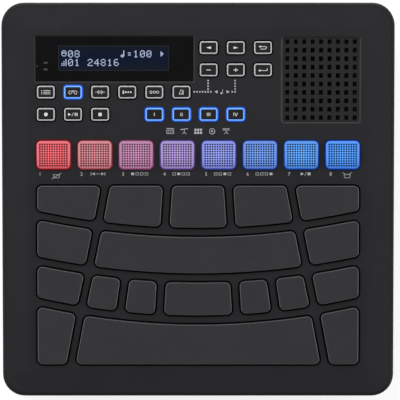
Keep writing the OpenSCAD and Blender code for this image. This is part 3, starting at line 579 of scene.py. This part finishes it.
def lit_pad(i):
    """One lit pad, from its flange under the deck up to the dots in its top."""
    bm = bmesh.new()
    x0 = lit_x(i)

    def place(x, y, z):
        return on_deck(x0 + x, LIT_Y + y, z)

    soft, steps = 0.9, 6        # radius and chords of the rounded edge
    low = ring(bm, rounded(LIT_W, LIT_D, LIT_R, inset=-REACH), FLANGE_Z, place)
    cap(bm, low, down=True)
    levels = [(-REACH, FLANGE_Z + FLANGE_T), (0, FLANGE_Z + FLANGE_T)]
    skirt = len(levels)
    levels += [(soft * (1 - math.cos(a)), LIT_RISE - soft * (1 - math.sin(a)))
               for a in (k * math.pi / 2 / steps for k in range(steps + 1))]
    for k, (inset, z) in enumerate(levels):
        high = ring(bm, rounded(LIT_W, LIT_D, LIT_R, inset=inset), z, place)
        band(bm, low, high, 2 if k < skirt else 0)
        low = high
    # The flat top: a grid of cells with the dots sunk in it, joined to the rounded edge
    xs = [(c - (DOT_COLS - 1) / 2) * DOT_DX + s * DOT / 2 for c in range(DOT_COLS) for s in (-1, 1)]
    ys = [(r - (DOT_ROWS - 1) / 2) * DOT_DY + s * DOT / 2 for r in range(DOT_ROWS) for s in (-1, 1)]
    grid = [[bm.verts.new(place(x, y, LIT_RISE)) for y in ys] for x in xs]
    for a in range(len(xs) - 1):
        for b in range(len(ys) - 1):
            quad = (grid[a][b], grid[a + 1][b], grid[a + 1][b + 1], grid[a][b + 1])
            if a % 2 or b % 2:
                bm.faces.new(quad)
                continue
            floor = [bm.verts.new(place(x, y, LIT_RISE - DOT_SINK))
                     for x, y in ((xs[a], ys[b]), (xs[a + 1], ys[b]), (xs[a + 1], ys[b + 1]), (xs[a], ys[b + 1]))]
            for k in range(4):
                bm.faces.new((quad[k], quad[(k + 1) % 4], floor[(k + 1) % 4], floor[k])).material_index = 1
            cap(bm, floor, 1)
    border = [grid[a][0] for a in range(len(xs))] + [grid[-1][b] for b in range(1, len(ys))]
    border += [grid[a][-1] for a in range(len(xs) - 2, -1, -1)] + [grid[0][b] for b in range(len(ys) - 2, 0, -1)]
    stitch(bm, high, border)
    bmesh.ops.recalc_face_normals(bm, faces=bm.faces)
    shade(bm, 40)
    around = halo(f"lit_skirt_{i + 1}", LIT_COLOURS[i][0], 0.20)
    piece = new_piece(f"lit_pad_{i + 1}_form", bm, [lit_silicone(i), dot_look(i), around], f"lit_pad_{i + 1}")
    keep_flats(piece)
    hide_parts(f"lit_pad_{i + 1}")


for number in range(8):
    lit_pad(number)

# ---- Keys: a frame round a dark cap, with a plain symbol on the cap ----


def symbol(bm, name, at):
    """The symbol on a key's cap, in millimetres about the cap's middle."""
    low, high, slot = KEY_RISE + PRINT_LOW, KEY_RISE + PRINT_HIGH, 2

    def area(points):
        prism(bm, points, low, high, at, slot)

    def line(points, width=0.34, closed=False):
        stroke(bm, points, width, low, high, at, closed, slot)

    if name in ("cursor_left", "cursor_right"):
        side = -1 if name == "cursor_left" else 1
        area([(side * 1.6, 0), (-side * 1.4, side * 0.8), (-side * 1.4, -side * 0.8)])
    elif name == "exit":
        line([(-1.4, 0.65), (1.5, 0.65), (2.2, 0.0), (1.5, -0.85), (-1.6, -0.85)], 0.36)
        area([(-2.7, 0.65), (-1.3, -0.1), (-1.3, 1.4)])
    elif name in ("value_down", "value_up"):
        line([(-1.4, 0), (1.4, 0)], 0.46)
        if name == "value_up":
            area([(-0.23, 0.23), (0.23, 0.23), (0.23, 1.2), (-0.23, 1.2)])
            area([(-0.23, -1.2), (0.23, -1.2), (0.23, -0.23), (-0.23, -0.23)])
    elif name == "enter":
        line([(2.6, 1.0), (2.6, -0.35), (-1.6, -0.35)], 0.36)
        area([(-2.9, -0.35), (-1.5, -1.15), (-1.5, 0.45)])
    elif name == "menu":
        for y in (-1.0, 0, 1.0):
            line([(-1.5, y), (2.8, y)])
            area(box_shape(-2.5, y, 0.6, 0.42))
    elif name == "kit":
        for x in (-1.6, 1.6):
            line(circle(x, -0.15, 0.95, 14), 0.3, True)
        area(circle(0, 0.75, 0.45, 12))
    elif name == "audio":
        for k, h in enumerate((0.5, 1.3, 2.2, 1.5, 2.4, 1.1, 0.6)):
            area(box_shape((k - 3) * 0.85, 0, 0.36, h))
    elif name == "session":
        for x, h in ((-2.3, 2.0), (-0.8, 0.9), (0.7, 0.9), (2.2, 0.9)):
            area(box_shape(x, 0, 0.95, h))
    elif name == "registration":
        for x in (-2.0, 0, 2.0):
            line(circle(x, 0, 0.72, 12), 0.3, True)
    elif name == "click":
        line([(-1.3, -1.15), (1.3, -1.15), (0.5, 1.25), (-0.5, 1.25)], 0.3, True)
        line([(0, -0.85), (1.5, 1.0)], 0.28)
    elif name == "record":
        area(circle(0, 0, 1.15, 24))
    elif name == "play_pause":
        area([(-3.0, -1.0), (-1.2, 0), (-3.0, 1.0)])
        line([(-0.75, -1.15), (0.35, 1.15)], 0.3)
        for x in (1.35, 2.45):
            area(box_shape(x, 0, 0.62, 1.9))
    elif name == "stop":
        area(box_shape(0, 0, 2.0, 2.0))
    else:
        numeral = {"bank_1": "I", "bank_2": "II", "bank_3": "III", "bank_4": "IV"}[name]
        if numeral == "IV":
            line([(-1.2, 1.0), (-1.2, -1.0)], 0.36)
            line([(-0.55, 1.0), (0.3, -0.95), (1.15, 1.0)])
        else:
            for k in range(len(numeral)):
                x = (k - (len(numeral) - 1) / 2) * 0.85
                line([(x, 1.0), (x, -1.0)], 0.36)


def key(name):
    """One key, from its flange under the deck up to the symbol on its cap."""
    x0, y0 = key_place(name)
    bm = bmesh.new()

    def place(x, y, z):
        return on_deck(x0 + x, y0 + y, z)

    def edge(inset, r, side, soft, steps=3):
        """Levels of a small rounded edge, from a wall up to the top that lies on its inner or outer side."""
        turns = [k * math.pi / 2 / steps for k in range(steps + 1)]
        rows = [(soft * (1 - math.cos(a)), KEY_RISE - soft * (1 - math.sin(a))) for a in turns]
        return [(inset + side * reach, z, r) for reach, z in rows]

    low = ring(bm, rounded(KEY_W, KEY_D, KEY_R, 6, -REACH), FLANGE_Z, place)
    cap(bm, low, down=True)
    levels = [(-REACH, FLANGE_Z + FLANGE_T, KEY_R), (0, FLANGE_Z + FLANGE_T, KEY_R)]
    skirt = len(levels)
    levels += edge(0, KEY_R, 1, 0.28)
    levels += edge(KEY_FRAME, KEY_R, -1, 0.15)[::-1]
    levels.append((KEY_FRAME, KEY_RISE - GROOVE_D, KEY_R))
    frame_end = len(levels)
    levels.append((KEY_FRAME + GROOVE_W, KEY_RISE - GROOVE_D, KEY_R + 0.1))
    levels += edge(KEY_FRAME + GROOVE_W, KEY_R + 0.1, 1, 0.15)
    for k, (inset, z, r) in enumerate(levels):
        high = ring(bm, rounded(KEY_W, KEY_D, r, 6, inset), z, place)
        band(bm, low, high, 3 if k < skirt else 0 if k < frame_end else 1)
        low = high
    cap(bm, low, 1)
    symbol(bm, name, place)
    shade(bm, 40)
    # Lit keys glow in the gap round them; an unlit key's flange gets painted shade
    frame_look, skirt_look = (frame_lit, key_halo) if name in LIT_KEYS else (frame_plain, painted_skirt_shade)
    piece = new_piece(f"key_{name}_form", bm, [frame_look, cap_plastic, ink, skirt_look],
                      f"key_{name}")
    keep_flats(piece)
    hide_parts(f"key_{name}")


for key_name in KEYS:
    key(key_name)

# ---- Print on the deck ----


def digit_shapes(bm, text, x, y, size):
    """Plain digits on the deck as closed solids, their left foot at x, y."""
    curve = bpy.data.curves.new("digits", "FONT")
    curve.body, curve.size = text, size
    curve.resolution_u = 3
    holder = bpy.data.objects.new("digits", curve)
    flat = bpy.data.meshes.new_from_object(holder)
    sheet = bmesh.new()
    sheet.from_mesh(flat)
    bmesh.ops.remove_doubles(sheet, verts=sheet.verts, dist=1e-5)
    top = {v: bm.verts.new(on_deck(x + v.co.x, y + v.co.y, PRINT_HIGH)) for v in sheet.verts}
    bottom = {v: bm.verts.new(on_deck(x + v.co.x, y + v.co.y, PRINT_LOW)) for v in sheet.verts}
    for face in sheet.faces:
        points = list(face.verts) if face.normal.z > 0 else list(face.verts)[::-1]
        bm.faces.new([top[v] for v in points])
        bm.faces.new([bottom[v] for v in points[::-1]])
    for border in sheet.edges:
        if len(border.link_faces) == 1:
            a, b = border.verts
            bm.faces.new((top[a], top[b], bottom[b], bottom[a]))
    sheet.free()
    bpy.data.objects.remove(holder)
    bpy.data.curves.remove(curve)
    bpy.data.meshes.remove(flat)


def deck_print():
    """Plain numbers and generic signs in place of the words on the deck."""
    bm = bmesh.new()
    digits_y, signs_y, percussion_y = 15.35, 16.45, 42.4
    dots_y, dot_r = 66.4, 0.52
    spread = 1.006              # the numbers stand a little wider apart than the pads

    def area(points):
        prism(bm, points, PRINT_LOW, PRINT_HIGH, on_deck)

    def line(points, width=0.28, closed=False):
        stroke(bm, points, width, PRINT_LOW, PRINT_HIGH, on_deck, closed)

    def drum(x, y, struck):
        line([(x - 1.9, y + 0.9), (x + 1.9, y + 0.9), (x + 1.6, y - 1.0), (x - 1.6, y - 1.0)], 0.26, True)
        if struck:
            line([(x - 3.0, y + 2.3), (x - 0.9, y + 1.2)], 0.26)
            line([(x + 3.0, y + 2.3), (x + 0.9, y + 1.2)], 0.26)
        else:
            line([(x - 2.9, y - 1.7), (x + 2.9, y + 1.9)])

    def stand(x, y, top):
        """Pole and feet under a cymbal."""
        line([(x, y + top), (x, y - 0.7)], 0.3)
        line([(x - 1.2, y - 1.6), (x, y - 0.6), (x + 1.2, y - 1.6)], 0.3)

    for i in range(8):
        digit_shapes(bm, str(i + 1), lit_x(i) * spread - 8.5, digits_y, 3.1)
        x, y = lit_x(i) * spread + 2.3, signs_y
        if i in (0, 7):         # drums off, drums alone
            drum(x, y - 1.4, i == 7)
        elif i == 1:            # to the beginning, to the end
            for side in (-1, 1):
                line([(x + side * 4.2, y - 1.0), (x + side * 4.2, y + 1.0)], 0.34)
                area([(x + side * 3.6, y), (x + side * 1.9, y - 0.9 * side), (x + side * 1.9, y + 0.9 * side)])
            line([(x - 1.2, y), (x + 1.2, y)], 0.26)
        elif i < 6:             # one of four patterns
            for k in range(4):
                shape = box_shape(x - 4.2 + k * 2.8, y, 1.7, 1.5)
                if k == i - 2:
                    area(shape)
                else:
                    line(shape, 0.24, True)
        else:                   # start and stop
            area([(x - 3.0, y - 1.05), (x - 1.1, y), (x - 3.0, y + 1.05)])
            line([(x - 0.5, y - 1.2), (x + 0.5, y + 1.2)], 0.26)
            area(box_shape(x + 2.1, y, 1.7, 1.7))
    # Dotted lines from the click key and the value keys to the tempo sign
    for x in (-2.3, -0.6, 1.1, 2.8, 4.45, 6.1, 7.8, 20.8, 22.5):
        area(circle(x, dots_y, dot_r, 12))
    for x in (6.1, 22.5):
        for y in (68.05, 69.75, 71.45, 73.2):
            area(circle(x, y, dot_r, 12))
    # A row of percussion signs
    x, y = -16.9, percussion_y      # snare drum
    line(box_shape(x, y - 0.3, 4.2, 2.2), 0.3, True)
    for k in (-1.2, 0, 1.2):
        line([(x + k, y - 1.3), (x + k, y + 0.7)], 0.22)
    line([(x - 2.3, y + 1.7), (x + 2.3, y + 1.7)], 0.34)
    x = -8.4                        # cymbal
    line([(x - 2.3, y + 1.0), (x + 2.3, y + 1.6)], 0.42)
    stand(x, y, 1.2)
    x = 0.1                         # pads
    for dx in (-1.7, 0, 1.7):
        for dy in (-0.9, 0.9):
            area(box_shape(x + dx, y + dy, 1.25, 1.35))
    x = 8.6                         # bass drum
    line(circle(x, y, 1.65, 24), 0.34, True)
    area(circle(x, y, 0.55, 12))
    x = 17.1                        # hi-hat
    for plate in (1.55, 0.75):
        line([(x - 2.1, y + plate), (x + 2.1, y + plate)], 0.34)
    stand(x, y, 0.7)
    # Slower and faster, either side of a note
    x, y = 14.6, dots_y
    for side in (-1, 1):
        area([(x + side * 4.6, y), (x + side * 2.7, y + side), (x + side * 2.7, y - side)])
    x, y = 14.3, 65.6
    area([(x + 0.75 * math.cos(a) - 0.1 * math.sin(a), y + 0.52 * math.sin(a) + 0.2 * math.cos(a))
          for a in (k * math.pi / 8 for k in range(16))])
    line([(x + 0.65, y + 0.1), (x + 0.65, y + 2.3)], 0.26)
    shade(bm)
    new_piece("deck_print", bm, [label_ink], "chassis")


deck_print()

# ---- The picture in the display window ----

# Rows of five dots, from the top down
FONT_5X7 = {
    "0": "01110 10001 10011 10101 11001 10001 01110", "1": "00100 01100 00100 00100 00100 00100 01110",
    "=": "00000 00000 01110 00000 01110 00000 00000", "note": "00010 00010 00010 00010 01110 11110 01100",
    "play": "00000 01000 01100 01110 01100 01000 00000", "drum": "01110 10001 11111 10001 10001 01110 00000",
    "2": "01110 10001 00001 00110 01000 10000 11111", "4": "00010 00110 01010 10010 11111 00010 00010",
    "6": "01110 10000 10000 11110 10001 10001 01110", "8": "01110 10001 10001 01110 10001 10001 01110",
    "bars": "00001 00001 00101 00101 10101 10101 10101", "blank": "00000 00000 00000 00000 00000 00000 00000",
}
# Back edge of either line and the marks in it
DISPLAY_LINES = (
    (91.5, "drum 0 8 blank blank blank blank blank blank note = 1 0 0 blank play"),
    (86.3, "bars 0 1 blank 2 4 8 1 6"),
)
FIRST_DOT_X, CHARACTER_PITCH, DOT_PITCH = -82.6, 3.97, 0.61


def display_picture():
    """The display's field, rim and characters, and the faint marks beside them, all on the window."""
    bm = bmesh.new()
    top = WINDOW_Z

    def outline(shrink):
        points = rounded(SCREEN_W - shrink, SCREEN_D - shrink, 0.4, 3)
        return [(x + SCREEN_X, y + SCREEN_Y) for x, y in points]

    prism(bm, outline(0), top + PRINT_LOW, top + PRINT_HIGH, on_deck, 0)
    stroke(bm, outline(0.4), 0.4, top + PRINT_LOW, top + 0.03, on_deck, closed=True, slot=2)
    for y0, line in DISPLAY_LINES:
        for c, mark in enumerate(line.split()):
            for r, bits in enumerate(FONT_5X7[mark].split()):
                for b, bit in enumerate(bits):
                    if bit == "1":
                        x = FIRST_DOT_X + c * CHARACTER_PITCH + b * DOT_PITCH
                        prism(bm, box_shape(x, y0 - 0.3 - r * DOT_PITCH, 0.49, 0.50),
                              top - 0.02, top + 0.04, on_deck, 1)
    shade(bm)
    new_piece("display_picture", bm, [screen_blue, characters_white, screen_edge], "chassis")
    bm = bmesh.new()
    for y in (84.0, 80.0):
        prism(bm, box_shape(-92.5, y, 2.3, 0.95), top - 0.02, top + PRINT_HIGH, on_deck)
    prism(bm, [(-98.0, 81.4), (-97.1, 82.0), (-98.0, 82.6)], top - 0.02, top + PRINT_HIGH, on_deck)
    shade(bm)
    new_piece("window_marks", bm, [faint_ink], "chassis")


display_picture()

# ---- Back, feet and screws ----

# Place, width and height of the two USB shells; bore and ring of the round sockets
USB_SHELLS = ((USB_C_X, 9, 3.2), (USB_A_X, 13.2, 5.8))
JACK_BORE_R, JACK_RING_R = 1.95, 4.1


def socket_slot(face):
    """Steel for the USB shells, the rings of the round sockets and their bores; plastic for the rest."""
    c = face.calc_center_median() * 1000
    for x, w, h in USB_SHELLS:
        dx, dz = abs(c.x - x), abs(c.z - SOCKET_Z)
        if dx < w / 2 + 0.1 and dz < h / 2 + 0.1:
            tongue = dx < w / 2 - 1.0 and dz < h / 2 - 0.5 and c.y < BAY_Y - 0.3
            return 0 if tongue else 1
    for x in (AUX_X, PHONES_X):
        r = math.hypot(c.x - x, c.z - SOCKET_Z)
        if r < JACK_BORE_R and c.y < BAY_Y or r < JACK_RING_R and face.normal.y > 0.5:
            return 1
    return 0


refined("rear_sockets", [socket_plastic, steel], slot_of=socket_slot)


def back_print():
    """Signs on the wall of the socket bay, and dots round the volume knob."""
    bm = bmesh.new()
    signs_v = 11.9              # height of the row of signs
    dots_r = 8.7                # radius of the arc of volume dots

    def place(u, v, w):
        """u runs to the right as the back is seen, v up."""
        return Vector((-u, BAY_Y + w, v)) / 1000

    def area(points):
        prism(bm, points, PRINT_LOW, PRINT_HIGH, place)

    def line(points):
        stroke(bm, points, 0.36, PRINT_LOW, PRINT_HIGH, place)

    for k in range(11):
        a = math.radians(240 - 30 * k)
        area(circle(-KNOB_X + dots_r * math.cos(a), SOCKET_Z + dots_r * math.sin(a), 0.32 + 0.03 * k, 10))
    u, v = -PHONES_X, signs_v   # headphones
    line(circle(u, v - 0.7, 1.9, 14, 0, 180))
    for side in (-1.9, 1.9):
        area(box_shape(u + side, v - 1.0, 0.95, 1.7))
    u = -AUX_X                  # sound in
    line(circle(u + 1.0, v, 1.5, 14, 200, 320))
    line([(u - 2.6, v), (u + 0.2, v)])
    area([(u + 1.1, v), (u - 0.2, v + 0.8), (u - 0.2, v - 0.8)])
    u = -USB_A_X                # data both ways
    line([(u - 1.4, v), (u + 1.4, v)])
    for side in (-1, 1):
        area([(u + side * 2.6, v), (u + side * 1.2, v + side * 0.9), (u + side * 1.2, v - side * 0.9)])
    u = -USB_C_X                # supply
    area([(u + 0.5, v + 1.7), (u - 1.0, v - 0.2), (u - 0.1, v - 0.2)])
    area([(u - 0.5, v - 1.7), (u + 1.0, v + 0.2), (u + 0.1, v + 0.2)])
    u = -POWER_X                # on and off
    line(circle(u, v - 0.1, 1.35, 18, 120, 300))
    line([(u, v + 0.2), (u, v + 1.7)])
    shade(bm)
    new_piece("back_print", bm, [label_ink], "chassis")


def behind(y):
    """Choice of the edges that lie farther back than y."""
    return lambda e: all(v.co.y > y for v in e.verts)


back_print()
refined("volume_knob", [knob_plastic], [(behind(KNOB_FRONT), 0.3)])
refined("power_button", [knob_plastic], [(behind(BUTTON_FRONT), 0.3)])
refined("rubber_feet", [foot_rubber])
refined("case_screws", [steel])

# ---- Pieces inside the case: the CAD form with a material ----

for node, material in (("speaker", speaker_paper), ("pad_sensor_board", board_green), ("key_board", board_green),
                       ("main_board", board_green), ("battery_pack", battery_blue), ("display_module", display_back)):
    nodes[node].data.materials.clear()
    nodes[node].data.materials.append(material)

# ---- Studio ----

# How bright the room is as light on the object, and as it is seen: z of the direction and brightness
ROOM_LIGHT = 0.28
ROOM_SEEN = ((0.25, 0.55), (0.85, 0.06))
# The floor as light on the object; as it is seen, a darker surface with a glow, which keeps the shadow
FLOOR_HALF, FLOOR_LIGHT, FLOOR_SEEN, FLOOR_GLOW = 12, 0.82, 0.34, 0.76
# Name, place, width and height in metres, and power in watts
LAMPS = (
    ("back", (-0.25, 1.55, 0.70), (2.6, 1.1), 18),
    ("left", (-1.45, 0.2, 0.58), (2.2, 1.0), 17),
    ("right", (1.45, 0.1, 0.56), (2.2, 1.0), 20),
    ("fill", (-0.60, 1.0, 1.30), (1.2, 0.8), 12),
)
CAMERA_PLACE, LENS = (0.00119, -0.00009, 1.75), 252.5


def grey(brightness):
    """A colour for a socket or a stop of a ramp."""
    return (brightness, brightness, brightness, 1)


def seen_directly(tree):
    """1 for rays from the camera, a mirror or glass, which see the background; 0 for its light on the object."""
    rays = tree.nodes.new("ShaderNodeLightPath")
    output = rays.outputs["Is Camera Ray"]
    for kind in ("Is Glossy Ray", "Is Transmission Ray"):
        either = tree.nodes.new("ShaderNodeMath")
        either.operation = "MAXIMUM"
        tree.links.new(output, either.inputs[0])
        tree.links.new(rays.outputs[kind], either.inputs[1])
        output = either.outputs[0]
    return output


def surround():
    """The world: even light on the object, and a room that is seen to darken upwards."""
    world = bpy.data.worlds.new("studio")
    bpy.context.scene.world = world
    world.use_nodes = True
    tree = world.node_tree
    direction = tree.nodes.new("ShaderNodeTexCoord")
    split = tree.nodes.new("ShaderNodeSeparateXYZ")
    tree.links.new(direction.outputs["Generated"], split.inputs[0])
    walls = tree.nodes.new("ShaderNodeValToRGB")
    for point, (at, brightness) in zip(walls.color_ramp.elements, ROOM_SEEN):
        point.position, point.color = at, grey(brightness)
    tree.links.new(split.outputs[2], walls.inputs[0])
    mix = tree.nodes.new("ShaderNodeMix")
    mix.data_type = "RGBA"
    mix.inputs[6].default_value = grey(ROOM_LIGHT)
    tree.links.new(seen_directly(tree), mix.inputs[0])
    tree.links.new(walls.outputs[0], mix.inputs[7])
    tree.links.new(mix.outputs[2], tree.nodes["Background"].inputs[0])


def floor_look():
    """White to the camera, mirrors and glass, apart from the object's shadow."""
    material = bpy.data.materials.new("floor_white")
    material.use_nodes = True
    tree = material.node_tree
    tree.nodes.remove(tree.nodes["Principled BSDF"])
    plain = tree.nodes.new("ShaderNodeBsdfDiffuse")
    plain.inputs[0].default_value = grey(FLOOR_LIGHT)
    shown = tree.nodes.new("ShaderNodeBsdfDiffuse")
    shown.inputs[0].default_value = grey(FLOOR_SEEN)
    glow = tree.nodes.new("ShaderNodeEmission")
    glow.inputs[1].default_value = FLOOR_GLOW
    both = tree.nodes.new("ShaderNodeAddShader")
    tree.links.new(shown.outputs[0], both.inputs[0])
    tree.links.new(glow.outputs[0], both.inputs[1])
    mix = tree.nodes.new("ShaderNodeMixShader")
    tree.links.new(seen_directly(tree), mix.inputs[0])
    tree.links.new(plain.outputs[0], mix.inputs[1])
    tree.links.new(both.outputs[0], mix.inputs[2])
    tree.links.new(mix.outputs[0], tree.nodes["Material Output"].inputs[0])
    return material


def lay_floor():
    """A wide flat floor under the feet."""
    bm = bmesh.new()
    bmesh.ops.create_grid(bm, x_segments=4, y_segments=4, size=FLOOR_HALF)
    mesh = bpy.data.meshes.new("floor")
    bm.to_mesh(mesh)
    bm.free()
    mesh.materials.append(floor_look())
    floor = bpy.data.objects.new("floor", mesh)
    bpy.context.scene.collection.objects.link(floor)


def hang_lamps():
    """Rectangular lamps that face the object; the fill lamp isn't mirrored, so the window stays dark."""
    for name, place, size, power in LAMPS:
        light = bpy.data.lights.new(name, "AREA")
        light.shape = "RECTANGLE"
        light.size, light.size_y = size
        light.energy = power
        lamp = bpy.data.objects.new(name, light)
        lamp.location = place
        lamp.rotation_euler = (-Vector(place)).to_track_quat("-Z", "Y").to_euler()
        bpy.context.scene.collection.objects.link(lamp)
        lamp.visible_glossy = name != "fill"


def set_camera():
    """Straight above, far enough away to see the sides as little as the photograph does."""
    camera = bpy.data.cameras.new("camera")
    camera.sensor_width, camera.lens = 36, LENS
    camera.clip_start, camera.clip_end = 0.1, 50
    eye = bpy.data.objects.new("camera", camera)
    eye.location = CAMERA_PLACE
    bpy.context.scene.collection.objects.link(eye)
    bpy.context.scene.camera = eye


bpy.context.scene.view_settings.view_transform = "Standard"
surround()
lay_floor()
hang_lamps()
set_camera()
